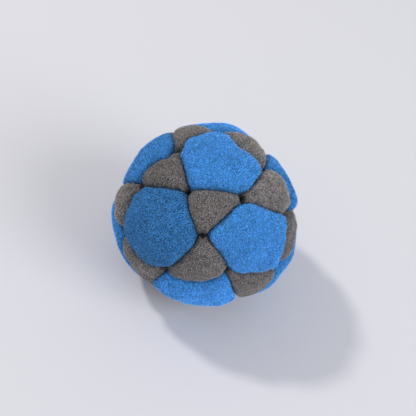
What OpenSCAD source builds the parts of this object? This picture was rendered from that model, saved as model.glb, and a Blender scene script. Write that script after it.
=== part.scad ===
// Juggling ball: twelve large and twenty small suede panels, sewn edge to edge round a loose bead filling.
// Every panel is cut with five or three corners. Each side is folded inward along a plane through the ball's
// centre, and the two folds that meet at a seam are stitched together below the surface.

/* [Ball] */
// Width of the ball over the crowns of the large panels, mm
ball_d = 60; // [50:1:80]
// How far the middle of a seam lies below the large panels' crowns, mm
seam_sink = 2; // [1.75:0.25:3]
// How far the small panels' crowns stand above the middle of a seam, mm
small_rise = 0.5; // [0.3:0.1:0.8]
// Radius of the flat patch that the filled ball settles on, mm
rest_r = 8; // [6:0.5:10]

/* [Panels] */
// Thickness of the suede, mm
cloth_t = 0.8; // [0.5:0.1:1]
// How deep the folded seam allowance reaches below the middle of a seam, mm
allowance = 3.6; // [3:0.1:4.4]
// Gap between the two folds of a seam, mm
seam_gap = 0.1; // [0.05:0.05:0.2]
// How far the corners stray round their true places where no pull is given, degrees
stray = 2; // [0:0.5:2.5]

/* [Stitches] */
// Width and thickness of the flat waxed thread, mm
thread_w = 0.5; // [0.3:0.05:0.6]
// From the folds' cut edge out to the middle of the stitches, mm
stitch_edge = 0.6; // [0.5:0.05:0.8]
// Needle holes along each seam
holes_per_seam = 5; // [3:1:6]
// Clearance round the thread in its holes, beside the folds and from seam to seam, mm
thread_clearance = 0.05; // [0.05:0.05:0.15]

/* [Closing stitch] */
// Whipped loops over the last seam, beside its knot
closing_loops = 2; // [1:1:4]
// Diameter of a loop at the middle of its thread, mm
loop_d = 1.8; // [1.6:0.1:2.2]
// Distance from one loop to the next, mm
loop_pitch = 0.9; // [0.8:0.1:1.2]
// Thickness of the round closing thread, mm
closing_thread_d = 0.35; // [0.25:0.05:0.45]
// Depth of the loops' middles below the middle of the seam, mm
loop_depth = 0.4; // [0.2:0.1:0.6]
// Diameter of the knot, mm
knot_d = 0.9; // [0.7:0.1:1.2]

/* [Filling] */
// Diameter of a filling bead, mm
bead_d = 6; // [5:0.5:8]
// Gap from bead to bead, mm
bead_gap = 0.1; // [0.05:0.05:0.3]
// Gap between the filling and the folded allowances, mm
filling_clearance = 0.3; // [0.1:0.1:1]
// Empty height above the filling, mm
headspace = 8; // [4:1:16]

/* [Hidden] */
$fn = 48;
SIDES = [1, 2, 3, 4, 5];

blue = [0.21, 0.47, 0.74];
grey = [0.37, 0.36, 0.37];
red = [0.72, 0.22, 0.2];
cream = [0.9, 0.88, 0.82];

// Geometry of the thirty corners: a solid with twelve five-sided and twenty three-sided faces, one five-sided
// face on top. Its seams all span the same angle. A polar angle is counted down from the top.
seam_span = 36;
step = 360 / 5;
half_step = step / 2;
corner_polar = asin(sin(seam_span / 2) / sin(half_step));
shoulder_polar = 90 - corner_polar;

// Pulls that hand sewing gave some corners: [corner, degrees east, degrees down]
pulls = [
    [0, 2, 1.5], [1, 4.5, -5], [2, 4, 1.5], [3, 0, 0], [4, -6, -2],
    [5, 6.5, -6], [6, 2.5, -3], [7, -1, -2], [8, 4, 3], [9, -4.5, -9.5],
    [10, 2.5, -13], [15, -1, -6], [16, -0.5, -2], [17, 0, 1.5], [18, 2, -7.5], [19, 10.5, 9.5],
    [22, 4, -1]
];

// Corners 0-4 ring the top panel, 5-9 lie under them, 10-19 run round the middle, 20-24 and 25-29 mirror the top
function true_polar(i) = i < 5 ? corner_polar : i < 10 ? shoulder_polar : i < 20 ? 90 :
    i < 25 ? 180 - shoulder_polar : 180 - corner_polar;
function true_around(i) = i < 5 ? 90 + step * i : i < 10 ? 90 + half_step + step * i : i < 20 ? half_step * (i - 10) :
    i < 25 ? 90 + step * i : 90 + half_step + step * i;
function given_pull(i) = [for (p = pulls) if (p[0] == i) [p[1], p[2]]];
function pull(i) = len(given_pull(i)) > 0 ? given_pull(i)[0] : stray * [sin(97 * i), cos(61 * i)];
function unit(v) = v / norm(v);
function total(list, i = 0) = i < len(list) - 1 ? list[i] + total(list, i + 1) : list[i];
function direction(polar, around) = [sin(polar) * cos(around), sin(polar) * sin(around), cos(polar)];
CORNERS = [for (i = [0:29])
    direction(true_polar(i) + pull(i)[1], true_around(i) + pull(i)[0] / sin(true_polar(i)))];

// Corner numbers of each panel, anticlockwise from outside; k counts from 0 and wraps round
function top_ring(k) = (k + 5) % 5;
function shoulder(k) = 5 + (k + 5) % 5;
function middle(j) = 10 + (j + 10) % 10;
function low_shoulder(k) = 20 + (k + 5) % 5;
function low_ring(k) = 25 + (k + 5) % 5;
function blue_upper_corners(k) = [top_ring(k), shoulder(k - 1), middle(2 * k + 2), middle(2 * k + 3), shoulder(k)];
function blue_lower_corners(k) =
    [low_ring(k), low_shoulder(k + 1), middle(2 * k + 4), middle(2 * k + 3), low_shoulder(k)];
function grey_crown_corners(k) = [top_ring(k), shoulder(k), top_ring(k + 1)];
function grey_upper_corners(k) = [shoulder(k), middle(2 * k + 3), middle(2 * k + 4)];
function grey_lower_corners(k) = [low_shoulder(k), middle(2 * k + 3), middle(2 * k + 2)];
function grey_foot_corners(k) = [low_shoulder(k), low_ring(k - 1), low_ring(k)];
blue_top_corners = [0, 1, 2, 3, 4];
blue_base_corners = [29, 28, 27, 26, 25];
SMALL_PANELS = concat(
    [for (k = [0:4]) grey_crown_corners(k)],
    [for (k = [0:4]) grey_upper_corners(k)],
    [for (k = [0:4]) grey_lower_corners(k)],
    [for (k = [0:4]) grey_foot_corners(k)]
);

// Crowns: each is part of a ball of its own, through the panel's top and the middles of its seams
seam_r = ball_d / 2 - seam_sink;
large_top = ball_d / 2;
small_top = seam_r + small_rise;
function panel_axis(ids) = unit(total([for (i = ids) CORNERS[i]]));
function seam_middle(a, b) = unit(CORNERS[a] + CORNERS[b]);
function mean_tilt(ids) = let (n = len(ids))
    total([for (i = [0:n - 1]) acos(panel_axis(ids) * seam_middle(ids[i], ids[(i + 1) % n]))]) / n;
function crown_shift(top, tilt) = (top * top - seam_r * seam_r) / (2 * (top - seam_r * cos(tilt)));

// Height of the ball's centre once its base panel has flattened
base_shift = crown_shift(large_top, mean_tilt(blue_base_corners));
centre_h = base_shift + sqrt(pow(large_top - base_shift, 2) - rest_r * rest_r);

// Stitches: a running thread that passes through both folds at each hole
fold_r = seam_r - allowance;
stitch_r = fold_r + stitch_edge;
needle_r = thread_w / sqrt(2) + thread_clearance;
fold_inside = seam_gap / 2 + cloth_t;
run_offset = fold_inside + thread_clearance + thread_w / 2;
thread_reach = run_offset + thread_w / 2 + thread_clearance;

// Each end of a seam stays free of stitches until its thread is clear of the folds and the threads of the
// seams that meet it there. The stitches lie level with the seam's middle, which the extra 1/10 allows for
function has(list, i) = len([for (j = list) if (j == i) j]) > 0;
function joined_to(a) = [for (ids = SMALL_PANELS) if (has(ids, a)) for (i = ids) if (i != a) i];
function corner_angle(a, b, c) =
    acos(unit(cross(CORNERS[a], CORNERS[b])) * unit(cross(CORNERS[a], CORNERS[c])));
function sharpest(a, b) = min([for (c = joined_to(a)) if (c != b) corner_angle(a, b, c)]);
function free_end(a, b) = thread_w / 2 + 1.1 * thread_reach / tan(sharpest(a, b) / 2);
function seam_half(a, b) = stitch_r * tan(acos(CORNERS[a] * CORNERS[b]) / 2);
function hole_place(a, b, j) =
    let (start = free_end(a, b) - seam_half(a, b), end = seam_half(a, b) - free_end(b, a))
    start + (end - start) * j / (holes_per_seam - 1);

// Filling
filling_r = fold_r - filling_clearance - bead_d / 2;
lattice = (bead_d + bead_gap) / sqrt(2);
reach = ceil(filling_r / lattice);

// Closing stitch: on the seam between these two corners
closing_seam = [4, 0];
loop_needle_r = closing_thread_d / 2 + thread_clearance;
loop_angle = loop_pitch / seam_r * 180 / PI;

// The wedge from the ball's centre out through a panel's corners, its sides moved in by inset
module wedge(ids, tilt, inset) {
    axis = panel_axis(ids);
    tips = [for (i = ids) CORNERS[i] * ball_d / (CORNERS[i] * axis)];
    n = len(ids);
    translate(axis * inset / sin(tilt))
        polyhedron(
            points = concat([[0, 0, 0]], tips),
            faces = concat([for (i = [1:n]) [0, i, i % n + 1]], [[for (i = [n:-1:1]) i]])
        );
}

// Moves what it is given from the ball's own centre to its place above the resting patch
module raised() {
    translate([0, 0, centre_h]) children();
}

// Turns what it is given so that its XY plane holds the seam and X points at the seam's middle
module along_seam(a, b) {
    out = seam_middle(a, b);
    across = unit(cross(CORNERS[a], CORNERS[b]));
    along = cross(across, out);
    multmatrix([
        [out[0], along[0], across[0], 0],
        [out[1], along[1], across[1], 0],
        [out[2], along[2], across[2], 0]
    ]) children();
}

// Everything above a level plane
module above(level) {
    translate([-ball_d, -ball_d, level]) cube([2 * ball_d, 2 * ball_d, 2 * ball_d]);
}

module needle_holes(ids) {
    n = len(ids);
    for (s = [0:n - 1])
        along_seam(ids[s], ids[(s + 1) % n])
            for (j = [0:holes_per_seam - 1])
                translate([stitch_r, hole_place(ids[s], ids[(s + 1) % n], j), -thread_reach])
                    cylinder(r = needle_r, h = 2 * thread_reach);
}

// The whipped loops, or the room they need in the cloth when tube_r is their holes' radius
module closing_rings(tube_r) {
    along_seam(closing_seam[0], closing_seam[1])
        for (j = [1:closing_loops])
            rotate([0, 0, j * loop_angle])
                translate([seam_r - loop_depth, 0, 0])
                    rotate([90, 0, 0])
                        rotate_extrude() translate([loop_d / 2, 0]) circle(r = tube_r);
}

// The knot beside them, or the room it needs in the cloth
module closing_knot(width) {
    along_seam(closing_seam[0], closing_seam[1])
        translate([seam_r, 0, 0]) sphere(d = width);
}

// One panel: a crowned skin with its seam allowances folded in, pierced for the thread
module panel(ids, top) {
    axis = panel_axis(ids);
    tilt = mean_tilt(ids);
    shift = crown_shift(top, tilt);
    crown_r = top - shift;
    resting = -centre_h;
    raised()
        difference() {
            intersection() {
                translate(axis * shift) sphere(r = crown_r);
                wedge(ids, tilt, seam_gap / 2);
                above(resting);
            }
            intersection() {
                translate(axis * shift) sphere(r = crown_r - cloth_t);
                wedge(ids, tilt, fold_inside);
                above(resting + cloth_t);
            }
            sphere(r = fold_r);
            needle_holes(ids);
            if (has(ids, closing_seam[0]) && has(ids, closing_seam[1])) {
                closing_rings(loop_needle_r);
                closing_knot(knot_d + 2 * thread_clearance);
            }
        }
}

module large_panel(ids) {
    color(blue) panel(ids, large_top);
}

module small_panel(ids) {
    color(grey) panel(ids, small_top);
}

module blue_top() {
    large_panel(blue_top_corners);
}

module blue_upper(k) {
    large_panel(blue_upper_corners(k));
}

module blue_lower(k) {
    large_panel(blue_lower_corners(k));
}

module blue_base() {
    large_panel(blue_base_corners);
}

module grey_crown(k) {
    small_panel(grey_crown_corners(k));
}

module grey_upper(k) {
    small_panel(grey_upper_corners(k));
}

module grey_lower(k) {
    small_panel(grey_lower_corners(k));
}

module grey_foot(k) {
    small_panel(grey_foot_corners(k));
}

// Outline of a flat thread whose middle follows points joined by square turns
function left_of(p, i) = let (v = unit(p[i + 1] - p[i])) [-v[1], v[0]];
function edge(p, side) = [for (i = [0:len(p) - 1])
    p[i] + side * thread_w / 2 * (
        (i > 0 ? left_of(p, i - 1) : [0, 0]) + (i < len(p) - 1 ? left_of(p, i) : [0, 0]))];
function reversed(list) = [for (i = [len(list) - 1:-1:0]) list[i]];

// Running stitch of one seam: through both folds at a hole, then along one side of them to the next hole
module running_stitch(a, b) {
    turns = [for (j = [0:holes_per_seam - 1]) for (side = [-1, 1])
        [hole_place(a, b, j), (j % 2 == 0 ? side : -side) * run_offset]];
    along_seam(a, b)
        translate([stitch_r - thread_w / 2, 0, 0])
            rotate([90, 0, 90])
                linear_extrude(height = thread_w)
                    polygon(concat(edge(turns, 1), reversed(edge(turns, -1))));
}

module seam_thread() {
    color(cream)
        raised()
            for (ids = SMALL_PANELS)
                for (s = [0:2])
                    if (!(has(closing_seam, ids[s]) && has(closing_seam, ids[(s + 1) % 3])))
                        running_stitch(ids[s], ids[(s + 1) % 3]);
}

// The last seam's own thread: drawn through the folds, then whipped over the seam and knotted
module closing_stitch() {
    color(red)
        raised() {
            running_stitch(closing_seam[0], closing_seam[1]);
            closing_rings(closing_thread_d / 2);
            closing_knot(knot_d);
        }
}

module filling_beads() {
    color(cream)
        raised()
            for (i = [-reach:reach])
                for (j = [-reach:reach])
                    for (l = [-reach:reach]) {
                        place = lattice * [i, j, l];
                        if ((i + j + l) % 2 == 0 && norm(place) <= filling_r
                            && place[2] <= filling_r - headspace)
                            translate(place) sphere(d = bead_d);
                    }
}

blue_top();
for (k = SIDES) blue_upper(k - 1);
for (k = SIDES) blue_lower(k - 1);
blue_base();
for (k = SIDES) grey_crown(k - 1);
for (k = SIDES) grey_upper(k - 1);
for (k = SIDES) grey_lower(k - 1);
for (k = SIDES) grey_foot(k - 1);
seam_thread();
closing_stitch();
filling_beads();
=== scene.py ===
"""A hand-sewn juggling ball: blue and grey suede panels puffed round a bead filling, as an add-on."""

import math

import bpy
import numpy as np
from mathutils import Matrix, Vector


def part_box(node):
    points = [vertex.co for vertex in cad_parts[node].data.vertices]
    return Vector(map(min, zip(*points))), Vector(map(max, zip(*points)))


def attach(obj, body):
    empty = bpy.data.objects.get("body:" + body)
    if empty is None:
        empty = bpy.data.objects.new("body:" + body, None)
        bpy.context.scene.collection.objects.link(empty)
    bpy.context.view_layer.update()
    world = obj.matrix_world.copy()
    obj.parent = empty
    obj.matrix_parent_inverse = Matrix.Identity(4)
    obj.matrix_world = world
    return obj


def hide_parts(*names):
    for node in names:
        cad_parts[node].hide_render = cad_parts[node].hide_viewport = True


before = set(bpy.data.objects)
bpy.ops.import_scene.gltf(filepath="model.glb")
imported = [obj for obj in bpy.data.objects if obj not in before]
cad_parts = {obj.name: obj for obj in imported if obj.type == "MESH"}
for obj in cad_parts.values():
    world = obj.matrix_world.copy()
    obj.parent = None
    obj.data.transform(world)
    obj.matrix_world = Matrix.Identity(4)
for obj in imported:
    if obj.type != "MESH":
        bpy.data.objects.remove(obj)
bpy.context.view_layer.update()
MM = 0.001

bl_info = {
    "name": "Sewn juggling ball",
    "version": (1, 0, 0),
    "blender": (4, 5, 0),
    "location": "View3D > Sidebar > Sewn ball",
    "description": "Builds a thirty-two panel suede bean ball round its packed frame",
    "category": "Object",
}


# Sizes and colours that a user may change

def a_length(name, description, millimetres):
    """A length setting, given in millimetres."""
    return bpy.props.FloatProperty(
        name=name, description=description, default=millimetres * MM, unit="LENGTH", precision=5)


def a_number(name, description, value, most):
    """A plain number setting from nothing to most."""
    return bpy.props.FloatProperty(name=name, description=description, default=value, min=0.0, max=most)


def a_colour(name, value):
    """A colour setting."""
    about = f"Colour of the {name.lower()}"
    return bpy.props.FloatVectorProperty(
        name=name, description=about, subtype="COLOR", size=3, min=0, max=1, default=value)


class BallSizes(bpy.types.PropertyGroup):
    """Shape of the sewn cover."""

    crown_radius: a_length("Crown radius", "From the centre to the crown of a blue panel", 29.8)
    seam_radius: a_length("Seam radius", "From the centre to the cloth's level beside a seam", 28.1)
    grey_rise: a_length("Grey rise", "Height of a grey panel's crown above the seams' level", 0.9)
    crease_depth: a_length("Crease depth", "How far the cloth rolls down into a seam", 1.9)
    lip_width: a_length("Lip width", "Width over which the cloth rolls into a seam", 1.8)
    cloth: a_length("Suede thickness", "Thickness of the suede", 0.7)
    allowance: a_length("Seam allowance", "How deep the folded edge reaches below the crease", 1.3)
    pressure: a_number("Pressure", "Pressure of the filling in the puff simulation", 4.0, 20.0)
    slack: a_number("Slack", "Share by which the cloth is larger than its place between the seams", 0.04, 0.2)
    puff_cap: a_length("Most puff", "The most that the simulation moves the cloth", 1.0)
    longer: a_number("Longer by", "Share by which the ball is longer along its long line", 0.035, 0.1)
    pit: a_length("Corner pits", "How far the stitches draw the cloth in where four panels meet", 1.9)
    pit_width: a_length("Pit width", "How far a corner's pit reaches", 2.0)
    lump: a_length("Filling lumps", "How far the filling pushes the cloth out of shape", 0.35)


class BallColours(bpy.types.PropertyGroup):
    """Colours of the suede and the threads."""

    blue: a_colour("Blue suede", (0.054, 0.258, 0.625))
    grey: a_colour("Grey suede", (0.167, 0.154, 0.150))
    thread: a_colour("Sewing thread", (0.60, 0.57, 0.48))
    closing: a_colour("Closing thread", (0.55, 0.04, 0.05))
    blue_fibre: a_colour("Blue fibres", (0.13, 0.46, 0.88))
    grey_fibre: a_colour("Grey fibres", (0.41, 0.38, 0.36))
    bead: a_colour("Beads", (0.72, 0.70, 0.64))
    floor: a_colour("Floor", (0.78, 0.77, 0.80))


class NapSizes(bpy.types.PropertyGroup):
    """The suede's raised fibres."""

    blue_density: a_number("Blue fibres", "Fibres in a square millimetre of blue suede", 16.0, 20.0)
    grey_density: a_number("Grey fibres", "Fibres in a square millimetre of grey suede", 22.0, 30.0)
    length: a_length("Fibre length", "Length of a fibre", 0.44)
    width: a_length("Fibre width", "Width of a fibre at its root", 0.085)
    seed: bpy.props.IntProperty(name="Seed", description="Seed of the fibres' places", default=7)


class InsideSizes(bpy.types.PropertyGroup):
    """The threads and the filling."""

    thread_width: a_length("Thread", "Width of the sewing thread", 0.5)
    closing_width: a_length("Closing thread", "Width of the last seam's thread", 0.3)
    stitch_depth: a_length("Stitch depth", "How far the stitches lie below the seams' level", 2.9)
    loop: a_length("Loop", "Width of a loop over the last seam", 1.3)
    loop_depth: a_length("Loop depth", "How far a loop's middle lies below the seams' level", 0.9)
    knot: a_length("Knot", "Width of the closing knot", 0.9)
    bead: a_length("Bead", "Diameter of a filling bead", 6.0)
    bead_gap: a_length("Bead gap", "Gap from bead to bead", 0.1)
    filling_radius: a_length("Filling radius", "From the centre to the middles of the outermost beads", 21.1)
    headspace: a_length("Headspace", "Empty height above the filling", 8.0)


# The pattern: thirty corners of a solid with twelve five-sided and twenty three-sided faces

SEAM_SPAN = math.radians(36)
STEP = math.radians(72)
CORNER_POLAR = math.asin(math.sin(SEAM_SPAN / 2) / math.sin(STEP / 2))
# Pulls that hand sewing gave some corners: number, degrees east, degrees down
PULLS = {
    0: (2.3, -5.1), 1: (7.1, -3.9), 2: (4.1, 1.7), 3: (-0.1, 0.5), 4: (-6.1, -1.5), 5: (6.5, -6),
    6: (2.8, -2.9), 7: (-1.3, -2.2), 8: (4.2, 3), 9: (-4.5, -9.5), 10: (2.5, -13), 15: (-1, -6),
    16: (-0.7, -2.1), 17: (-0.3, -0.3), 18: (1.5, -9.4), 19: (6.1, 1.8), 22: (4, -1),
}
# How far the corners that nothing pulls stray, in degrees
STRAY = 2.0
# Seams that bow, by their two corners: degrees towards the grey panel, or towards the blue if negative
BOWS = {
    (2, 3): -1.9, (3, 7): -0.6, (2, 7): -2.2, (1, 2): -1.6, (0, 1): -0.2, (0, 4): -5.7, (3, 4): -0.2,
    (3, 8): -2.5, (4, 8): -13.1, (8, 19): -5, (18, 19): -0.2, (7, 18): -3.5, (7, 17): 0.7, (16, 17): 2.3,
    (6, 16): -0.2, (2, 6): -0.5, (1, 6): -2.6, (17, 18): -5.2, (16, 22): -7, (10, 19): -6, (8, 10): -3,
    (22, 27): -8, (23, 27): -5,
}
USUAL_BOW = -1.5
BOW_STRAY = 1.5
# Where four panels meet, the two grey ones touch along a short crease and keep the blue tips apart: half its
# length in degrees, how far along a seam that reaches, and where it starts
BLUNT = {2: 0.6, 3: 2.2, 7: 1.9, 1: 2.9}
USUAL_BLUNT = 1.3
BLUNT_REACH = 5.0
BLUNT_START = 0.5
# Seams with a local dent, by their two corners: the share of the way to it from the first, and its degrees
DENTS = {(1, 6): (0.25, 4.0)}
DENT_WIDTH = 0.13
# The seam that was sewn last, from outside
LAST_SEAM = (4, 0)


def direction(polar, around):
    """Unit vector at a polar angle from the top and an angle round the ball."""
    return np.array([math.sin(polar) * math.cos(around), math.sin(polar) * math.sin(around), math.cos(polar)])


def true_corner(i):
    """Polar angle and angle round the ball of a corner, before any pull."""
    shoulder = math.pi / 2 - CORNER_POLAR
    start = math.pi / 2
    if i < 5:
        return CORNER_POLAR, start + STEP * i
    if i < 10:
        return shoulder, start + STEP / 2 + STEP * i
    if i < 20:
        return math.pi / 2, STEP / 2 * (i - 10)
    if i < 25:
        return math.pi - shoulder, start + STEP * i
    return math.pi - CORNER_POLAR, start + STEP / 2 + STEP * i


def corner(i):
    """Direction of a corner as sewn."""
    polar, around = true_corner(i)
    stray = (STRAY * math.sin(math.radians(97 * i)), STRAY * math.cos(math.radians(61 * i)))
    east, down = PULLS.get(i, stray)
    return direction(polar + math.radians(down), around + math.radians(east) / math.sin(polar))


CORNERS = [corner(i) for i in range(30)]


def pattern():
    """Corner numbers of every panel by name, anticlockwise from outside."""
    def ring(first, k):
        return first + k % 5

    def middle(j):
        return 10 + j % 10

    panels = {"blue_top": [0, 1, 2, 3, 4], "blue_base": [29, 28, 27, 26, 25]}
    for k in range(5):
        n = k + 1
        panels[f"blue_upper_{n}"] = [
            ring(0, k), ring(5, k - 1), middle(2 * k + 2), middle(2 * k + 3), ring(5, k)]
        panels[f"blue_lower_{n}"] = [
            ring(25, k), ring(20, k + 1), middle(2 * k + 4), middle(2 * k + 3), ring(20, k)]
        panels[f"grey_crown_{n}"] = [ring(0, k), ring(5, k), ring(0, k + 1)]
        panels[f"grey_upper_{n}"] = [ring(5, k), middle(2 * k + 3), middle(2 * k + 4)]
        panels[f"grey_lower_{n}"] = [ring(20, k), middle(2 * k + 3), middle(2 * k + 2)]
        panels[f"grey_foot_{n}"] = [ring(20, k), ring(25, k - 1), ring(25, k)]
    return panels


PANELS = pattern()
SMALL = [ids for name, ids in PANELS.items() if name.startswith("grey")]
# The nap lies differently on each panel, which makes it lighter or dimmer at random; blue_upper_3 and
# grey_crown_2 are set dimmer, and blue_lower_3, which faces down towards the floor, is set lighter as painted
# light from below
TONES_AND_PAINTED_LIGHT = {
    "blue_upper_3": 0.70, "blue_upper_4": 1.0, "blue_top": 1.0, "blue_lower_3": 1.07, "grey_crown_2": 0.80,
    "grey_crown_4": 1.0,
}
USUAL_TONE = 0.92
TONE_STRAY = 0.06


def tone_and_light(name):
    """How light a panel's nap is, near one; the bottom panel is set lighter as painted light from the floor.
    """
    return TONES_AND_PAINTED_LIGHT.get(name, USUAL_TONE + TONE_STRAY * math.sin(7 * list(PANELS).index(name)))


def unit(v):
    """The vector or rows of vectors v, each made one long."""
    return v / np.linalg.norm(v, axis=-1, keepdims=True)


def slerp(a, b, t):
    """Directions on the great circle from a to b, at shares t of the way."""
    angle = np.arccos(np.clip((a * b).sum(-1, keepdims=True), -1, 1))
    return (np.sin((1 - t) * angle) * a + np.sin(t * angle) * b) / np.sin(angle)


def panel_axis(ids):
    """Direction of a panel's middle."""
    return unit(sum(CORNERS[i] for i in ids))


def seam(a, b, steps):
    """Directions along the bowed seam from corner a to corner b, both ends included."""
    low, high = min(a, b), max(a, b)
    small = next(ids for ids in SMALL if low in ids and high in ids)
    bow = math.radians(BOWS.get((low, high), USUAL_BOW + BOW_STRAY * math.sin(5 * low + 3 * high)))
    t = 0.5 - 0.5 * np.cos(np.linspace(0, math.pi, steps + 1)[:, None])
    line = slerp(CORNERS[a][None], CORNERS[b][None], t)
    across = unit(np.cross(CORNERS[low], CORNERS[high]))
    across = across * np.sign(across @ panel_axis(small))
    span = math.degrees(math.acos(CORNERS[a] @ CORNERS[b]))
    swell = bow * (4 * t * (1 - t)) ** 0.8
    spot, dent = DENTS.get((low, high), (0.5, 0))
    swell += math.radians(dent) * np.exp(-(((t if a == low else 1 - t) - spot) / DENT_WIDTH) ** 2)
    for end, away in ((a, t), (b, 1 - t)):
        along = away * span
        blunt = math.radians(BLUNT.get(end, USUAL_BLUNT))
        swell -= blunt * (1 - np.exp(-along / BLUNT_START)) * np.exp(-(along / BLUNT_REACH) ** 2)
    return unit(line * np.cos(swell) + across[None] * np.sin(swell))


# The filled ball is not quite round: it is longer along one line
LONG_WAY = direction(math.radians(80), math.radians(7))
# Places where the cover is pressed in or bulges out: polar angle, angle round the ball and reach in degrees,
# and how far it moves in millimetres
DENTED = [
    (77, 161, 22, -2.8), (59, 38, 26, -2.0), (109, 199, 15, -0.9), (109, -27, 26, 2.1), (52, 112, 20, -0.6),
]


def out_of_round(points, sizes):
    """Points round the ball's centre, drawn out along the long line and moved by the dents and bulges."""
    longer = np.outer(points @ LONG_WAY, LONG_WAY) * sizes.longer
    level = np.linalg.norm(points, axis=1)
    moved = points + longer
    for polar, around, reach, move in DENTED:
        way = direction(math.radians(polar), math.radians(around))
        apart = np.degrees(np.arccos(np.clip(points @ way / np.maximum(level, 1e-9), -1, 1)))
        moved = moved + np.outer(np.exp(-(apart / reach) ** 2) * level / sizes.seam_radius * move * MM, way)
    return moved


def cloudy(points, wavelength, seed, waves=22):
    """Smooth noise round zero, mostly from -1 to 1, at points in metres: a sum of plane waves."""
    rng = np.random.default_rng(seed)
    heading = unit(rng.normal(size=(waves, 3)))
    pitch = 2 * math.pi / (wavelength * rng.uniform(0.7, 1.5, waves))
    phase = rng.uniform(0, 2 * math.pi, waves)
    return np.sin(points @ (heading * pitch[:, None]).T + phase).sum(1) / math.sqrt(waves)


# Node helpers

def node(tree, kind, inputs=None, **settings):
    """A new node with its settings. An input, by name or number, is linked to a socket or set to a value."""
    made = tree.nodes.new(kind)
    for key, value in settings.items():
        setattr(made, key, value)
    for key, value in (inputs or {}).items():
        if isinstance(value, bpy.types.NodeSocket):
            tree.links.new(value, made.inputs[key])
        else:
            made.inputs[key].default_value = value
    return made


def maths(tree, operation, *terms):
    """The result of an operation on numbers and sockets."""
    return node(tree, "ShaderNodeMath", dict(enumerate(terms)), operation=operation).outputs[0]


def ranged(tree, value, start, end, low, high):
    """A value carried from one range into another."""
    return node(tree, "ShaderNodeMapRange", {
        "Value": value, "From Min": start, "From Max": end, "To Min": low, "To Max": high}).outputs["Result"]


def noise(tree, scale, roughness=0.6):
    """Noise of about a half over the object's own space: its scale is in waves a metre."""
    place = node(tree, "ShaderNodeTexCoord").outputs["Object"]
    return node(tree, "ShaderNodeTexNoise", {
        "Vector": place, "Scale": scale, "Detail": 2.0, "Roughness": roughness}).outputs["Fac"]


def surface_value(tree, name):
    """A value that the mesh keeps for its points, read in a material."""
    return node(tree, "ShaderNodeAttribute", attribute_name=name).outputs["Fac"]


def socket(tree, name, way, kind, default=None):
    """A named socket on a node group's interface."""
    made = tree.interface.new_socket(name=name, in_out=way, socket_type=kind)
    if default is not None:
        made.default_value = default
    return made


# Noise of the nap, in waves a metre, and how much of its height the fine noise makes
CLUMP_NOISE = 3300.0
FINE_NOISE = 9000.0
MOTTLE_NOISE = 170.0
FINE_SHARE = 0.25
# How much stronger the nap's contrast is on a panel set dimmer, and the least light that its shadows keep
DARKER_CONTRAST = 2.9
LEAST_LIGHT = 0.04
# The share of its colour that the nap keeps deep in a crease, where painted shade dims it
PAINTED_CREASE_SHADE = 0.12


def suede_group():
    """Node group: colour and height of napped suede. Clumps catch the light, painted shade dims the creases,
    and each panel's own lightness scales the colour, with painted light on the bottom panel.
    """
    if "Suede nap" in bpy.data.node_groups:
        return bpy.data.node_groups["Suede nap"]
    tree = bpy.data.node_groups.new("Suede nap", "ShaderNodeTree")
    socket(tree, "Colour", "INPUT", "NodeSocketColor", (0.5, 0.5, 0.5, 1))
    for name, default in (("Clump size", 1.0), ("Contrast", 0.5), ("Mottle", 0.2)):
        socket(tree, name, "INPUT", "NodeSocketFloat", default)
    socket(tree, "Colour", "OUTPUT", "NodeSocketColor")
    socket(tree, "Height", "OUTPUT", "NodeSocketFloat")
    asked = node(tree, "NodeGroupInput").outputs
    clumps = noise(tree, maths(tree, "DIVIDE", CLUMP_NOISE, asked["Clump size"]))
    height = maths(tree, "MULTIPLY_ADD", noise(tree, FINE_NOISE), FINE_SHARE,
                   maths(tree, "MULTIPLY", clumps, 1 - FINE_SHARE))
    darker_by_tone_and_light = surface_value(tree, "darker_by_tone_and_light")
    rough = maths(tree, "MULTIPLY_ADD", darker_by_tone_and_light, DARKER_CONTRAST, 1.0)
    contrast = maths(tree, "MULTIPLY", rough, asked["Contrast"])
    flecks = maths(tree, "MULTIPLY", ranged(tree, height, 0.41, 0.59, -1.0, 1.0), contrast)
    mottle = ranged(tree, noise(tree, MOTTLE_NOISE, 0.5), 0.35, 0.65, -1.0, 1.0)
    gain = maths(tree, "ADD", maths(tree, "MULTIPLY_ADD", mottle, asked["Mottle"], flecks), 1.0)
    # Painted shade: the colour dims deep in a crease and in a corner's pit
    crease = ranged(tree, surface_value(tree, "crease"), 0.1, 0.9, 1.0, PAINTED_CREASE_SHADE)
    level = maths(tree, "MULTIPLY", maths(tree, "MAXIMUM", gain, LEAST_LIGHT), crease)
    # The panel's nap tone scales the colour; on the bottom panel it is painted light
    toned_and_lit = maths(tree, "MULTIPLY", level, maths(tree, "SUBTRACT", 1.0, darker_by_tone_and_light))
    shade = node(tree, "ShaderNodeVectorMath", {0: asked["Colour"], "Scale": toned_and_lit}, operation="SCALE")
    node(tree, "NodeGroupOutput", {"Colour": shade.outputs["Vector"], "Height": height})
    return tree


def new_finish(name, inputs):
    """A new material's node tree and shader, with some of the shader's inputs set."""
    made = bpy.data.materials.new(name)
    made.use_nodes = True
    shader = made.node_tree.nodes["Principled BSDF"]
    for key, value in inputs.items():
        shader.inputs[key].default_value = value
    return made.node_tree, shader


def nap_finish(name, nap_inputs, bump_inputs, inputs):
    """A material with its colour from the nap group and a bump from the group's height."""
    tree, shader = new_finish(name, inputs)
    nap = node(tree, "ShaderNodeGroup", nap_inputs, node_tree=suede_group())
    bump = node(tree, "ShaderNodeBump", {**bump_inputs, "Height": nap.outputs["Height"]})
    tree.links.new(bump.outputs["Normal"], shader.inputs["Normal"])
    tree.links.new(nap.outputs["Colour"], shader.inputs["Base Color"])


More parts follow.
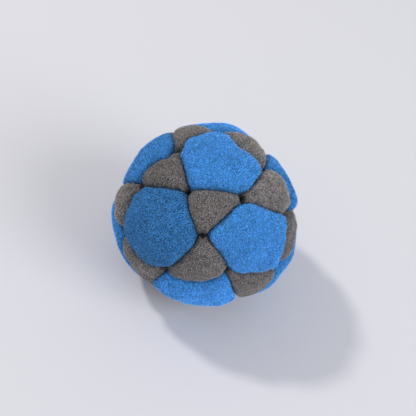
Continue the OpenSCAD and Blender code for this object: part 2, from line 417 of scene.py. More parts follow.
def suede(name, colour, contrast, mottle, sheen, tint):
    """Suede: the nap, its bump, and a soft sheen at grazing angles."""
    nap_finish(
        name, {"Colour": (*colour, 1), "Clump size": 1.0, "Contrast": contrast, "Mottle": mottle},
        {"Strength": 1.0, "Distance": 0.4 * MM},
        {"Roughness": 0.95, "Specular IOR Level": 0.12, "Sheen Weight": sheen, "Sheen Roughness": 0.35,
         "Sheen Tint": (*tint, 1)})


def plain_finish(name, colour, roughness, clump_size, contrast):
    """Waxed thread or bead plastic: a fine mottle in colour and a slight bump."""
    nap_finish(
        name, {"Colour": (*colour, 1), "Clump size": clump_size, "Contrast": contrast, "Mottle": 0.05},
        {"Strength": 0.4, "Distance": 0.1 * MM}, {"Roughness": roughness})


def fibre_finish(name, colour):
    """Fibres: their UV map, from fibre to fibre across and from root to tip along, sets their colour, with
    painted shade towards the roots.
    """
    tree, shader = new_finish(name, {
        "Roughness": 0.85, "Specular IOR Level": 0.2, "Sheen Weight": 0.25, "Sheen Roughness": 0.35})
    place = node(tree, "ShaderNodeUVMap", uv_map="UVMap").outputs["UV"]
    parts = node(tree, "ShaderNodeSeparateXYZ", {"Vector": place}).outputs
    one = ranged(tree, maths(tree, "POWER", parts["X"], 2.2), 0.0, 1.0, 0.3, 2.7)
    # Painted shade among the fibres: a fibre is dimmest at its root and brightest at its tip
    along = ranged(tree, parts["Y"], 0.0, 1.0, 0.75, 1.1)
    both = maths(tree, "MULTIPLY", one, along)
    shade = node(tree, "ShaderNodeVectorMath", {0: colour, "Scale": both}, operation="SCALE")
    tree.links.new(shade.outputs["Vector"], shader.inputs["Base Color"])


def material(name):
    """A material made earlier in this run."""
    return bpy.data.materials[name]


# Mesh helpers

def new_object(name, data):
    """An object at the origin."""
    made = bpy.data.objects.new(name, data)
    bpy.context.scene.collection.objects.link(made)
    return made


def mesh_piece(name, points, faces, finish, smooth=True):
    """An object with one mesh and one material."""
    mesh = bpy.data.meshes.new(name)
    mesh.from_pydata([tuple(p) for p in points], [], faces)
    mesh.update()
    for face in mesh.polygons:
        face.use_smooth = smooth
    mesh.materials.append(finish)
    return new_object(name, mesh)


def keep(mesh, name, values):
    """Keeps a value for every point of a mesh."""
    mesh.attributes.new(name, "FLOAT", "POINT").data.foreach_set("value", np.asarray(values, np.float32))


def kept(mesh, name):
    """The values that a mesh keeps for its points."""
    values = np.zeros(len(mesh.vertices), np.float32)
    mesh.attributes[name].data.foreach_get("value", values)
    return values


def seam_gaps(points, ids, steps=40):
    """For directions inside a panel, the angle from each to each of the panel's seams: one column a side."""
    n = len(ids)
    columns = []
    for s in range(n):
        line = seam(ids[s], ids[(s + 1) % n], steps)
        nearest = (points @ line.T).argmax(1)
        start = line[np.clip(nearest - 1, 0, steps - 1)]
        end = line[np.clip(nearest + 1, 1, steps)]
        normal = unit(np.cross(start, end))
        flat = np.abs((points * normal).sum(1))
        direct = np.arccos(np.clip((points * line[nearest]).sum(1), -1, 1))
        inner = (nearest > 0) & (nearest < steps)
        columns.append(np.where(inner, np.minimum(np.arcsin(np.clip(flat, 0, 1)), direct), direct))
    return np.stack(columns, 1)


def quarter_round(x):
    """Rises like a quarter circle from 0 at x = 0 to 1 at x = 1, and stays there."""
    return np.sqrt(np.clip(1 - (1 - np.clip(x, 0, 1)) ** 2, 0, 1))


def crown_rise(ids, sizes):
    """Height of a panel's crown above the seams' level: the five-sided panels are the blue ones."""
    return sizes.crown_radius - sizes.seam_radius if len(ids) == 5 else sizes.grey_rise


# Where a crown is full, as a share of the way from a seam to the panel's middle, and the power of its rise
DOME_SPAN = 1.05
DOME_POWER = 2.2
# The filling's lumps: share, wavelength and seed
LUMPS = ((0.75, 9 * MM, 3), (0.25, 3.2 * MM, 4))
# How deep in a crease a corner's pit counts, and how sharply; the crease value masks the puff and the fibres
# and sets the painted crease shade
PIT_CREASE = 0.95
PIT_POWER = 1.8


def crown_dome(points, ids, sizes):
    """Distances from directions in a panel to its seams, and the share of the crown's rise in each."""
    gaps = seam_gaps(points, ids) * sizes.seam_radius
    inner = seam_gaps(panel_axis(ids)[None], ids)[0].min() * sizes.seam_radius
    return gaps, np.prod(1 - (1 - np.clip(gaps / (DOME_SPAN * inner), 0, 1)) ** DOME_POWER, 1)


def cover_surface(points, ids, sizes):
    """Radii of a panel's outer surface in the given directions, and how deep in a crease each lies."""
    gaps, dome = crown_dome(points, ids, sizes)
    roll = np.prod(quarter_round(gaps / sizes.lip_width), 1)
    where = points * sizes.seam_radius
    lumps = sum(share * cloudy(where, wavelength, seed) for share, wavelength, seed in LUMPS)
    corners = np.stack([CORNERS[i] for i in ids])
    nearest = np.arccos(np.clip(points @ corners.T, -1, 1)).min(1) * sizes.seam_radius
    pits = np.exp(-(nearest / sizes.pit_width) ** 2)
    radius = (sizes.seam_radius + crown_rise(ids, sizes) * dome - sizes.crease_depth * (1 - roll)
              + sizes.lump * lumps * roll - sizes.pit * pits)
    return radius, np.maximum(1 - roll, PIT_CREASE * pits ** PIT_POWER)


# Height over which the cloth bends to the floor
REST_BEND = 0.25 * MM


def settle(points, level):
    """Points pressed smoothly up to a level plane, as where the ball rests."""
    above = points[:, 2] - level
    points[:, 2] = level + 0.5 * (above + np.sqrt(above ** 2 + REST_BEND ** 2))
    return points


# How far the puff simulation moved each panel's cloth, by node name: rings by places round by xyz
PUFFS = {}
PUFF_RINGS = 14
PUFF_SIDE = 14
# The simulation's scale, its frames, and the share of its rise that the cloth starts with
PUFF_SCALE = 10.0
PUFF_FRAMES = 20
PUFF_START = 0.8
# Gap in radians from the simulated cloth's rim to the seam
PUFF_RIM = 0.004
CLOTH = {
    "quality": 6, "mass": 0.4, "tension_stiffness": 25, "compression_stiffness": 25, "shear_stiffness": 10,
    "bending_stiffness": 2, "air_damping": 2, "vertex_group_mass": "pinned", "use_pressure": True,
}
# How strongly a panel's rings crowd towards its seams
RING_EASE = 1.5


def panel_rings(ids, rings, per_side, rim_gap):
    """Directions from a panel's middle out to just inside its seams: the middle once, then ring by ring."""
    axis = panel_axis(ids)
    n = len(ids)
    rim = np.concatenate([seam(ids[s], ids[(s + 1) % n], per_side)[:-1] for s in range(n)])
    held = 1 - rim_gap / np.arccos(np.clip(rim @ axis, -1, 1))[:, None]
    shares = 1 - (1 - np.arange(1, rings + 1) / rings) ** RING_EASE
    return np.concatenate([axis[None]] + [slerp(axis[None], rim, share * held) for share in shares])


def band_faces(around, first, second):
    """Faces between two rings of points."""
    pairs = [(j, (j + 1) % around) for j in range(around)]
    return [(first + j, second + j, second + k, first + k) for j, k in pairs]


def ring_faces(around, rings, start=0):
    """Faces of a fan round the start point and of the bands between the rings after it."""
    faces = [(start, start + 1 + j, start + 1 + (j + 1) % around) for j in range(around)]
    for r in range(rings - 1):
        faces += band_faces(around, start + 1 + r * around, start + 1 + (r + 1) * around)
    return faces


def simulate_puff(sizes):
    """Blows every panel's cloth up between its pinned seams, and keeps how far it moved."""
    starts, points, faces, pins = {}, [], [], []
    for name, ids in PANELS.items():
        heads = panel_rings(ids, PUFF_RINGS, PUFF_SIDE, PUFF_RIM)
        dome = crown_dome(heads, ids, sizes)[1]
        level = sizes.seam_radius + PUFF_START * crown_rise(ids, sizes) * dome
        around = len(ids) * PUFF_SIDE
        base = len(points)
        starts[name] = (base, around)
        points += [tuple(p) for p in heads * level[:, None] * PUFF_SCALE]
        faces += ring_faces(around, PUFF_RINGS, base)
        pins += range(base + 1 + (PUFF_RINGS - 1) * around, base + 1 + PUFF_RINGS * around)
    mesh = bpy.data.meshes.new("puff")
    mesh.from_pydata(points, [], faces)
    work = new_object("puff", mesh)
    scene = bpy.context.scene
    work.vertex_groups.new(name="pinned").add(pins, 1.0, "REPLACE")
    cloth = work.modifiers.new("Cloth", "CLOTH")
    asked = {**CLOTH, "uniform_pressure_force": sizes.pressure, "shrink_min": -sizes.slack}
    for key, value in asked.items():
        setattr(cloth.settings, key, value)
    cloth.settings.effector_weights.gravity = 0
    cloth.collision_settings.use_collision = False
    cloth.point_cache.frame_start, cloth.point_cache.frame_end = 1, PUFF_FRAMES
    for step in range(1, PUFF_FRAMES + 1):
        scene.frame_set(step)
    puffed = work.evaluated_get(bpy.context.evaluated_depsgraph_get())
    ends = np.empty(3 * len(points))
    puffed.to_mesh().vertices.foreach_get("co", ends)
    puffed.to_mesh_clear()
    moved = (ends.reshape(-1, 3) - np.array(points)) / PUFF_SCALE
    far = np.linalg.norm(moved, axis=1, keepdims=True)
    moved *= sizes.puff_cap * np.tanh(far / sizes.puff_cap) / np.maximum(far, 1e-9)
    for name, (base, around) in starts.items():
        grid = moved[base + 1:base + 1 + PUFF_RINGS * around].reshape(PUFF_RINGS, around, 3)
        middle = np.repeat(moved[base][None, None], around, 1)
        PUFFS[name] = np.concatenate([middle, grid])
    bpy.data.objects.remove(work)
    bpy.data.meshes.remove(mesh)
    scene.frame_set(1)


def spread_puff(grid, rings, around):
    """The simulated movement at every point of a finer set of rings: the middle once, then ring by ring."""
    coarse_rings, coarse_around = grid.shape[0] - 1, grid.shape[1]
    r = np.arange(rings + 1) * coarse_rings / rings
    low = np.clip(np.floor(r).astype(int), 0, coarse_rings - 1)
    share = (r - low)[:, None, None]
    rows = grid[low] * (1 - share) + grid[low + 1] * share
    t = np.arange(around) * coarse_around / around
    left = np.floor(t).astype(int)
    share = (t - left)[None, :, None]
    full = rows[:, left] * (1 - share) + rows[:, (left + 1) % coarse_around] * share
    soft = 0.5 * full + 0.25 * (np.roll(full, 1, 1) + np.roll(full, -1, 1))
    return np.concatenate([soft[0, :1], soft[1:].reshape(-1, 3)])


# Points along each side of a panel and rings from its middle out, by its number of sides
GRIDS = {5: (34, 40), 3: (32, 26)}
# Half of the gap between a seam's two folds, and the least height of a fold's back
HALF_GAP = 0.06 * MM
BACK_STEP = 0.2 * MM
# Heights at which the outer and the inner edge of a fold rest
FOLD_RESTS = (0.1 * MM, 0.2 * MM)
# Height above the floor up to which the cloth has no fibres, and how they thin out into a crease
BARE_HEIGHT = 0.7 * MM
NAP_MOST = 1.15
NAP_FADE = 1.9


def sewn_panel(name, ids, sizes, centre, finish):
    """A closed piece of suede: its puffed outer face, the roll into each seam, the folds and the lining."""
    per_side, rings = GRIDS[len(ids)]
    around, back_rings = len(ids) * per_side, rings // 2
    rim_gap = HALF_GAP / sizes.seam_radius
    heads = panel_rings(ids, rings, per_side, rim_gap)
    radius, crease = cover_surface(heads, ids, sizes)
    skin = heads * radius[:, None]
    label = name.removesuffix("_suede")
    if label in PUFFS:
        skin += spread_puff(PUFFS[label], rings, around) * (1 - crease)[:, None]
    low = radius[-around:] - sizes.allowance
    lining = panel_rings(ids, back_rings, per_side, rim_gap + sizes.cloth / sizes.seam_radius)
    back_radius = cover_surface(lining, ids, sizes)[0] - sizes.cloth
    back_radius[-around:] = np.maximum(back_radius[-around:], low + BACK_STEP)
    layers = ((skin, 0.0), (heads[-around:] * low[:, None], FOLD_RESTS[0]),
              (lining[-around:] * low[:, None], FOLD_RESTS[1]), (lining * back_radius[:, None], sizes.cloth))
    points = np.concatenate([settle(out_of_round(layer, sizes) + centre, level) for layer, level in layers])

    skin_end = len(skin)
    back_start = skin_end + 2 * around
    back_rim = back_start + 1 + (back_rings - 1) * around
    faces = ring_faces(around, rings) + band_faces(around, skin_end - around, skin_end)
    faces += band_faces(around, skin_end, skin_end + around)
    inward = ring_faces(around, back_rings, back_start) + band_faces(around, back_rim, skin_end + around)
    faces += [face[::-1] for face in inward]
    made = mesh_piece(name, points, faces, finish)

    # Kept for the suede: how deep each point lies in a crease, the mask of the painted crease shade, and how
    # thick the fibres grow
    crease_shade_mask, napped = np.ones(len(points)), np.zeros(len(points))
    crease_shade_mask[:skin_end] = crease
    napped[:skin_end] = np.clip(NAP_MOST - NAP_FADE * crease, 0, 1) * (points[:skin_end, 2] > BARE_HEIGHT)
    # How much dimmer the panel is: its nap's tone, and painted light on the bottom panel
    darker_by_tone_and_light = np.full(len(points), 1 - tone_and_light(label))
    for key, values in (("crease", crease_shade_mask), ("napped", napped), ("darker_by_tone_and_light", darker_by_tone_and_light)):
        keep(made.data, key, values)
    return made


def ball_centre(sizes):
    """The ball's own centre: its top panel's crown is one crown radius above it."""
    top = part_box("blue_top")[1].z
    return np.array([0.0, 0.0, top - sizes.crown_radius])


# Geometry Nodes trees

def new_tree(name, inputs):
    """A Geometry Nodes tree with a geometry in and out and the named inputs, and its input sockets."""
    tree = bpy.data.node_groups.new(name, "GeometryNodeTree")
    for key, kind in {"Geometry": "Geometry", **inputs, "Material": "Material"}.items():
        socket(tree, key, "INPUT", f"NodeSocket{kind}")
    socket(tree, "Geometry", "OUTPUT", "NodeSocketGeometry")
    return tree, node(tree, "NodeGroupInput").outputs


def geometry_value(tree, name):
    """A value that the geometry keeps."""
    made = node(tree, "GeometryNodeInputNamedAttribute", {"Name": name}, data_type="FLOAT")
    return made.outputs["Attribute"]


def stored(tree, geometry, name, value, domain, kind="FLOAT"):
    """The geometry with a value kept on it."""
    return node(tree, "GeometryNodeStoreNamedAttribute", {"Geometry": geometry, "Name": name, "Value": value},
                data_type=kind, domain=domain).outputs[0]


def chance(tree, kind, inputs, output):
    """A value drawn for each element."""
    return node(tree, "FunctionNodeRandomValue", inputs, data_type=kind).outputs[output]


def finish_tree(tree, asked, last, smooth, uv=None):
    """Ends a tree: smooth shading, instances made real, a UV map if there is one, and the material."""
    soft = node(tree, "GeometryNodeSetShadeSmooth", {"Geometry": last, "Shade Smooth": smooth}).outputs[0]
    real = node(tree, "GeometryNodeRealizeInstances", {"Geometry": soft}).outputs[0]
    if uv:
        real = stored(tree, real, "UVMap", uv, "CORNER", "FLOAT2")
    paint = node(tree, "GeometryNodeSetMaterial", {"Geometry": real, "Material": asked["Material"]})
    node(tree, "NodeGroupOutput", {"Geometry": paint.outputs[0]})
    return tree


def nap_tree():
    """Short leaning fibres over a cloth, as many as its napped attribute asks for."""
    tree, asked = new_tree("Nap fibres", {
        "Density": "Float", "Length": "Float", "Width": "Float", "Lean": "Float", "Seed": "Int"})
    seed = asked["Seed"]
    density = maths(tree, "MULTIPLY", geometry_value(tree, "napped"), asked["Density"])
    spots = node(tree, "GeometryNodeDistributePointsOnFaces", {
        "Mesh": asked["Geometry"], "Density": density, "Seed": seed}, distribute_method="RANDOM").outputs
    spike = node(tree, "GeometryNodeMeshCone", {
        "Vertices": 3, "Side Segments": 1, "Radius Top": 0.0, "Depth": asked["Length"],
        "Radius Bottom": maths(tree, "MULTIPLY", asked["Width"], 0.5)}, fill_type="NGON").outputs["Mesh"]
    place = node(tree, "GeometryNodeInputPosition").outputs[0]
    height = node(tree, "ShaderNodeSeparateXYZ", {"Vector": place}).outputs["Z"]
    tipped = stored(tree, spike, "tip", maths(tree, "DIVIDE", height, asked["Length"]), "POINT")
    least = node(tree, "ShaderNodeCombineXYZ", {"X": maths(tree, "MULTIPLY", asked["Lean"], 0.55)}).outputs[0]
    most = node(tree, "ShaderNodeCombineXYZ", {"X": asked["Lean"], "Z": 2 * math.pi}).outputs[0]
    turn = chance(tree, "FLOAT_VECTOR", {0: least, 1: most, "Seed": seed}, 0)
    euler = node(tree, "FunctionNodeEulerToRotation", {0: turn}).outputs[0]
    leaned = node(tree, "FunctionNodeRotateRotation", {0: spots["Rotation"], 1: euler},
                  rotation_space="LOCAL").outputs[0]
    planted = node(tree, "GeometryNodeInstanceOnPoints", {
        "Points": spots["Points"], "Instance": tipped, "Rotation": leaned,
        "Scale": chance(tree, "FLOAT", {2: 0.5, 3: 1.3, "Seed": seed}, 1)}).outputs[0]
    shaded = stored(tree, planted, "shade", chance(tree, "FLOAT", {"Seed": seed}, 1), "INSTANCE")
    # The panel's nap tone, with painted light on the bottom panel, scales each fibre's shade
    lie = maths(tree, "SUBTRACT", 1.0, geometry_value(tree, "darker_by_tone_and_light"))
    across = maths(tree, "MULTIPLY", geometry_value(tree, "shade"), lie)
    uv = node(tree, "ShaderNodeCombineXYZ", {"X": across, "Y": geometry_value(tree, "tip")}).outputs[0]
    return finish_tree(tree, asked, shaded, False, uv)


THREAD_SIDES = 7


def thread_tree():
    """A round thread along every line of the input, with rounded turns."""
    tree, asked = new_tree("Thread", {"Width": "Float", "Turn": "Float"})
    line = node(tree, "GeometryNodeMeshToCurve", {"Mesh": asked["Geometry"]}).outputs[0]
    rounded = node(tree, "GeometryNodeFilletCurve", {
        "Curve": line, "Radius": asked["Turn"], "Count": 3, "Limit Radius": True}, mode="POLY").outputs[0]
    ring = node(tree, "GeometryNodeCurvePrimitiveCircle", {
        "Resolution": THREAD_SIDES, "Radius": maths(tree, "MULTIPLY", asked["Width"], 0.5)}).outputs[0]
    tube = node(tree, "GeometryNodeCurveToMesh", {"Curve": rounded, "Profile Curve": ring, "Fill Caps": True})
    return finish_tree(tree, asked, tube.outputs[0], True)


def bead_tree():
    """A round bead at every point of the input."""
    tree, asked = new_tree("Beads", {"Diameter": "Float"})
    ball = node(tree, "GeometryNodeMeshIcoSphere", {
        "Subdivisions": 2, "Radius": maths(tree, "MULTIPLY", asked["Diameter"], 0.5)}).outputs["Mesh"]
    spots = node(tree, "GeometryNodeMeshToPoints", {"Mesh": asked["Geometry"]}).outputs[0]
    placed = node(tree, "GeometryNodeInstanceOnPoints", {"Points": spots, "Instance": ball})
    return finish_tree(tree, asked, placed.outputs[0], True)


def grown(name, source, tree, values):
    """A plain object made by running a tree on the source object, which is then removed."""
    work = source.modifiers.new("Build", "NODES")
    work.node_group = tree
    for item in tree.interface.items_tree:
        if item.in_out == "INPUT" and item.name in values:
            work[item.identifier] = values[item.name]
    graph = bpy.context.evaluated_depsgraph_get()
    graph.update()
    mesh = bpy.data.meshes.new_from_object(source.evaluated_get(graph))
    mesh.name = name
    bpy.data.objects.remove(source)
    return new_object(name, mesh)


def line_source(lines):
    """An object of plain edges, one run of them for each line of points."""
    mesh = bpy.data.meshes.new("lines")
    points, edges = [], []
    for line in lines:
        edges += [(len(points) + j, len(points) + j + 1) for j in range(len(line) - 1)]
        points += [tuple(p) for p in line]
    mesh.from_pydata(points, edges, [])
    return new_object("lines", mesh)


def cloth_source(panels):
    """One object that holds the cloths of several panels, with the values that the fibres need."""
    points, faces = [], []
    for panel in panels:
        start = len(points)
        points += [tuple(v.co) for v in panel.data.vertices]
        faces += [tuple(start + v for v in face.vertices) for face in panel.data.polygons]
    mesh = bpy.data.meshes.new("cloths")
    mesh.from_pydata(points, [], faces)
    for name in ("napped", "darker_by_tone_and_light"):
        keep(mesh, name, np.concatenate([kept(panel.data, name) for panel in panels]))
    return new_object("cloths", mesh)


# Operators

class BALL_OT_finishes(bpy.types.Operator):
    """Make the suede, thread and bead materials"""

    bl_idname = "ball.finishes"
    bl_label = "Finishes"

    def execute(self, context):
        """Makes the materials."""
        colours = context.scene.ball_colours
        fibre_finish("blue_fibres", colours.blue_fibre)
        fibre_finish("grey_fibres", colours.grey_fibre)
        plain_finish("waxed_thread", colours.thread, roughness=0.5, clump_size=0.44, contrast=0.2)
        plain_finish("red_thread", colours.closing, roughness=0.6, clump_size=0.44, contrast=0.25)
        plain_finish("bead_plastic", colours.bead, roughness=0.35, clump_size=2.75, contrast=0.05)
        suede("napped_blue", colours.blue, contrast=0.55, mottle=0.10, sheen=0.13, tint=(0.55, 0.75, 1.0))
        suede("napped_grey", colours.grey, contrast=1.0, mottle=0.09, sheen=0.25, tint=(0.9, 0.88, 0.86))
        return {"FINISHED"}


class BALL_OT_puff(bpy.types.Operator):
    """Blow the cloth up between its seams with a cloth simulation"""

    bl_idname = "ball.puff"
    bl_label = "Puff"

    def execute(self, context):
        simulate_puff(context.scene.ball_sizes)
        return {"FINISHED"}


def sew_panels(context, colour):
    """All panels of one colour, each standing for its CAD node."""
    sizes = context.scene.ball_sizes
    centre = ball_centre(sizes)
    for name, ids in PANELS.items():
        if name.startswith(colour):
            made = sewn_panel(f"{name}_suede", ids, sizes, centre, material(f"napped_{colour}"))
            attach(made, "root")
            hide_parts(name)


class BALL_OT_blue_panels(bpy.types.Operator):
    """Sew the twelve five-sided blue panels"""

    bl_idname = "ball.blue_panels"
    bl_label = "Blue panels"

    def execute(self, context):
        """Makes the blue panels."""
        sew_panels(context, "blue")
        return {"FINISHED"}


class BALL_OT_grey_panels(bpy.types.Operator):
    """Sew the twenty three-sided grey panels"""

    bl_idname = "ball.grey_panels"
    bl_label = "Grey panels"

    def execute(self, context):
        """Makes the grey panels."""
        sew_panels(context, "grey")
        return {"FINISHED"}


# How far a fibre leans at most, in radians
LEAN = 1.1


class BALL_OT_nap(bpy.types.Operator):
    """Raise the suede's fibres"""

    bl_idname = "ball.nap"
    bl_label = "Nap"

    def execute(self, context):
        """Makes the fibres, one piece for each colour and half of the ball."""
        nap = context.scene.ball_nap
        tree = nap_tree()
        halves = {"upper": ("top", "upper", "crown"), "lower": ("base", "lower", "foot")}
        for colour, density in (("blue", nap.blue_density), ("grey", nap.grey_density)):
            for half, words in halves.items():
                panels = [bpy.data.objects[f"{name}_suede"] for name in PANELS
                          if name.startswith(colour) and any(word in name for word in words)]
                made = grown(f"{colour}_nap_{half}", cloth_source(panels), tree, {
                    "Density": density / MM ** 2, "Length": nap.length, "Width": nap.width, "Lean": LEAN,
                    "Seed": nap.seed + len(panels), "Material": material(f"{colour}_fibres")})
                for spare in ("shade", "tip", "napped", "darker_by_tone_and_light"):
                    if spare in made.data.attributes:
                        made.data.attributes.remove(made.data.attributes[spare])
                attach(made, "root")
        return {"FINISHED"}


# Steps along a seam, and the share of the seam's length where the stitches start and the share that they take
SEAM_STEPS = 60
STITCH_START = 0.19
STITCH_SHARE = 0.62
HOLES = 5
THREAD_CLEARANCE = 0.05 * MM
# Radii of the turns of a stitch and of a loop
STITCH_TURN = 0.4 * MM
LOOP_TURN = 0.1 * MM


def stitch_line(a, b, sizes, inside, centre):
    """Points of a running stitch through both folds of the seam from corner a to corner b."""
    line = seam(a, b, SEAM_STEPS)
    level = sizes.seam_radius - inside.stitch_depth
    aside = HALF_GAP + sizes.cloth + THREAD_CLEARANCE + inside.thread_width / 2
    points = []
    for hole in range(HOLES):
        share = STITCH_START + STITCH_SHARE * hole / (HOLES - 1)
        here = round(SEAM_STEPS * math.acos(1 - 2 * share) / math.pi)
        across = unit(np.cross(line[here], line[here + 1]))
        for side in (-1, 1):
            way = side if hole % 2 == 0 else -side
            points.append(line[here] * level + across * way * aside)
    return out_of_round(np.array(points), sizes) + centre


class BALL_OT_thread(bpy.types.Operator):
    """Sew the seams with waxed thread"""

    bl_idname = "ball.thread"
    bl_label = "Seam thread"

    def execute(self, context):
        """Makes the running stitches of every seam but the last."""
        sizes, inside = context.scene.ball_sizes, context.scene.ball_inside
        centre = ball_centre(sizes)
        pairs = [(ids[s], ids[(s + 1) % 3]) for ids in SMALL for s in range(3)]
        lines = [stitch_line(a, b, sizes, inside, centre) for a, b in pairs if {a, b} != set(LAST_SEAM)]
        made = grown("seam_thread_waxed", line_source(lines), thread_tree(), {
            "Width": inside.thread_width, "Turn": STITCH_TURN, "Material": material("waxed_thread")})
        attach(made, "root")
        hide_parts("seam_thread")
        return {"FINISHED"}


# Steps along the last seam where the two loops and the knot sit
LOOP_STEPS = (27, 29)
KNOT_STEP = 25
# Points of a loop, points of the knot and of one of its turns, how far the turns lean over, how deep the knot
# lies and how wide its thread is beside the loops'
LOOP_POINTS = 14
KNOT_POINTS = 40
KNOT_TURN = 13
KNOT_LEAN = 1.1
KNOT_DEPTH = 0.5 * MM
KNOT_THREAD = 0.8


class BALL_OT_closing(bpy.types.Operator):
    """Close the last seam with its own thread"""

    bl_idname = "ball.closing"
    bl_label = "Closing stitch"

    def execute(self, context):
        """Makes the last seam's stitches, two loops over the crease and the knot."""
        sizes, inside = context.scene.ball_sizes, context.scene.ball_inside
        centre = ball_centre(sizes)
        width = inside.closing_width
        lines = [stitch_line(*LAST_SEAM, sizes, inside, centre)]
        line = seam(*LAST_SEAM, SEAM_STEPS)
        for here in LOOP_STEPS:
            out, across = line[here], unit(np.cross(line[here], line[here + 1]))
            turns = [2 * math.pi * k / LOOP_POINTS for k in range(LOOP_POINTS)]
            middle = out * (sizes.seam_radius - inside.loop_depth)
            ways = [math.cos(t) * out + math.sin(t) * across for t in turns]
            ring = out_of_round(np.array([middle + inside.loop / 2 * way for way in ways]), sizes) + centre
            lines.append([*ring, ring[0] + 0.001 * (ring[1] - ring[0])])
        made = grown("closing_stitch_red", line_source(lines), thread_tree(), {
            "Width": width, "Turn": LOOP_TURN, "Material": material("red_thread")})
        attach(made, "root")
        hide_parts("closing_stitch")
        out = line[KNOT_STEP]
        along = unit(line[KNOT_STEP + 1] - line[KNOT_STEP - 1])
        across = np.cross(out, along)
        heart = out_of_round((out * (sizes.seam_radius - KNOT_DEPTH))[None], sizes)[0] + centre
        pale = KNOT_THREAD * width
        wound = []
        for k in range(KNOT_POINTS):
            t = 2 * math.pi * k / KNOT_TURN
            lean = KNOT_LEAN * k / KNOT_POINTS
            leaned = along * math.cos(lean) + out * math.sin(lean)
            wound.append(heart + (inside.knot - pale) / 2 * (math.cos(t) * leaned + math.sin(t) * across))
        knot = grown("closing_knot_pale", line_source([wound]), thread_tree(), {
            "Width": pale, "Turn": LOOP_TURN, "Material": material("waxed_thread")})
        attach(knot, "root")
        return {"FINISHED"}


class BALL_OT_beads(bpy.types.Operator):
    """Fill the cover with beads"""

    bl_idname = "ball.beads"
    bl_label = "Filling beads"

    def execute(self, context):
        """Makes the beads, packed as oranges in a crate up to the headspace."""
        sizes, inside = context.scene.ball_sizes, context.scene.ball_inside
        centre = ball_centre(sizes)
        pitch = (inside.bead + inside.bead_gap) / math.sqrt(2)
        reach = math.ceil(inside.filling_radius / pitch)
        top = inside.filling_radius - inside.headspace
        steps = range(-reach, reach + 1)
        places = [(i, j, k) for i in steps for j in steps for k in steps if (i + j + k) % 2 == 0]
        crate = [np.array(place) * pitch for place in places]
        held = [p for p in crate if np.linalg.norm(p) <= inside.filling_radius and p[2] <= top]
        spots = [out_of_round(p[None], sizes)[0] + centre for p in held]
        made = grown("filling_beads_loose", line_source([[p] for p in spots]), bead_tree(), {
            "Diameter": inside.bead, "Material": material("bead_plastic")})
        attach(made, "root")
        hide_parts("filling_beads")
        return {"FINISHED"}


# Lamps: degrees round the ball and above the floor, metres away and across, watts and colour
LAMPS = {
    "key": (158, 50, 1.2, 0.13, 5.2, (1.0, 0.97, 0.93)),
    "window": (-30, 34, 1.4, 0.9, 9.0, (0.95, 0.97, 1.0)),
}
# Camera: degrees round the ball, above the floor and of roll, metres away, and its lens
CAMERA_ANGLES = (-4.0, 48.6, 14.9)
CAMERA_DISTANCE = 0.241
CAMERA_LENS = 63.9
CAMERA_SHIFT = (0.0079, 0.0106)
FLOOR_HALF = 2.0


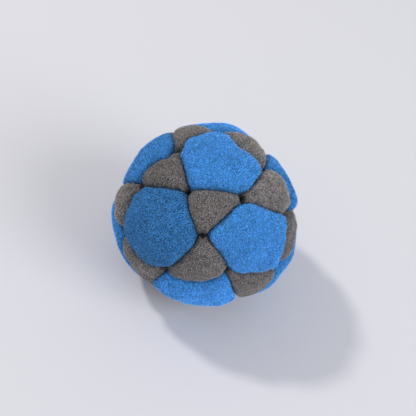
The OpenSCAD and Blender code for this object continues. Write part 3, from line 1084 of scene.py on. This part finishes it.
class BALL_OT_stage(bpy.types.Operator):
    """Lay the floor and set the lights and the camera"""

    bl_idname = "ball.stage"
    bl_label = "Stage"

    def execute(self, context):
        """Makes the stage."""
        scene = context.scene
        centre = Vector(ball_centre(scene.ball_sizes))
        new_finish("floor", {
            "Base Color": (*scene.ball_colours.floor, 1), "Roughness": 0.9, "Specular IOR Level": 0.1})
        corners = [(x * FLOOR_HALF, y * FLOOR_HALF, 0) for x, y in ((-1, -1), (1, -1), (1, 1), (-1, 1))]
        floor = mesh_piece("floor", corners, [(0, 1, 2, 3)], material("floor"), smooth=False)

        for name, (around, height, distance, size, power, tint) in LAMPS.items():
            light = bpy.data.lights.new(name, "AREA")
            light.shape = "DISK"
            light.size = size
            light.energy = power
            light.color = tint
            holder = new_object(name, light)
            way = Vector(direction(math.pi / 2 - math.radians(height), math.radians(around)))
            holder.location = centre + way * distance
            holder.rotation_euler = way.to_track_quat("Z", "Y").to_euler()
        world = bpy.data.worlds.new("studio")
        scene.world = world
        world.use_nodes = True
        sky = world.node_tree.nodes["Background"].inputs
        sky["Color"].default_value, sky["Strength"].default_value = (0.91, 0.93, 1.0, 1), 0.5
        scene.view_settings.view_transform = "Standard"

        camera = bpy.data.cameras.new("camera")
        camera.lens = CAMERA_LENS
        camera.sensor_width = 36
        camera.clip_start = 0.01
        camera.shift_x, camera.shift_y = CAMERA_SHIFT
        holder = new_object("camera", camera)
        around, height, roll = (math.radians(v) for v in CAMERA_ANGLES)
        aside, ahead = math.sin(around), math.cos(around)
        back = Vector((aside * math.cos(height), -ahead * math.cos(height), math.sin(height)))
        level = Vector((ahead, aside, 0))
        upright = back.cross(level)
        right = level * math.cos(roll) + upright * math.sin(roll)
        top = upright * math.cos(roll) - level * math.sin(roll)
        turn = Matrix((right, top, back)).transposed()
        holder.matrix_world = Matrix.Translation(centre + back * CAMERA_DISTANCE) @ turn.to_4x4()
        scene.camera = holder
        return {"FINISHED"}


STEPS = [
    BALL_OT_finishes, BALL_OT_puff, BALL_OT_blue_panels, BALL_OT_grey_panels, BALL_OT_nap, BALL_OT_thread,
    BALL_OT_closing, BALL_OT_beads, BALL_OT_stage,
]


class VIEW3D_PT_sewn_ball(bpy.types.Panel):
    """Buttons and sizes of the sewn ball"""

    bl_label = "Sewn ball"
    bl_idname = "VIEW3D_PT_sewn_ball"
    bl_space_type = "VIEW_3D"
    bl_region_type = "UI"
    bl_category = "Sewn ball"

    def draw(self, context):
        """Lists the sizes, the colours and the steps."""
        for name, group in GROUPS.items():
            for key in group.__annotations__:
                self.layout.prop(getattr(context.scene, name), key)
        for step in STEPS:
            self.layout.operator(step.bl_idname)


GROUPS = {
    "ball_sizes": BallSizes, "ball_colours": BallColours, "ball_nap": NapSizes, "ball_inside": InsideSizes,
}


def register():
    """Registers the classes and the scene's settings."""
    for cls in [*GROUPS.values(), *STEPS, VIEW3D_PT_sewn_ball]:
        bpy.utils.register_class(cls)
    for name, group in GROUPS.items():
        setattr(bpy.types.Scene, name, bpy.props.PointerProperty(type=group))


def unregister():
    """Takes them away again."""
    for name in GROUPS:
        delattr(bpy.types.Scene, name)
    for cls in reversed([*GROUPS.values(), *STEPS, VIEW3D_PT_sewn_ball]):
        bpy.utils.unregister_class(cls)


def main():
    """Builds the ball and its stage."""
    register()
    bpy.ops.ball.finishes()
    bpy.ops.ball.puff()
    bpy.ops.ball.blue_panels()
    bpy.ops.ball.grey_panels()
    bpy.ops.ball.nap()
    bpy.ops.ball.thread()
    bpy.ops.ball.closing()
    bpy.ops.ball.beads()
    bpy.ops.ball.stage()


if __name__ == "__main__":
    main()
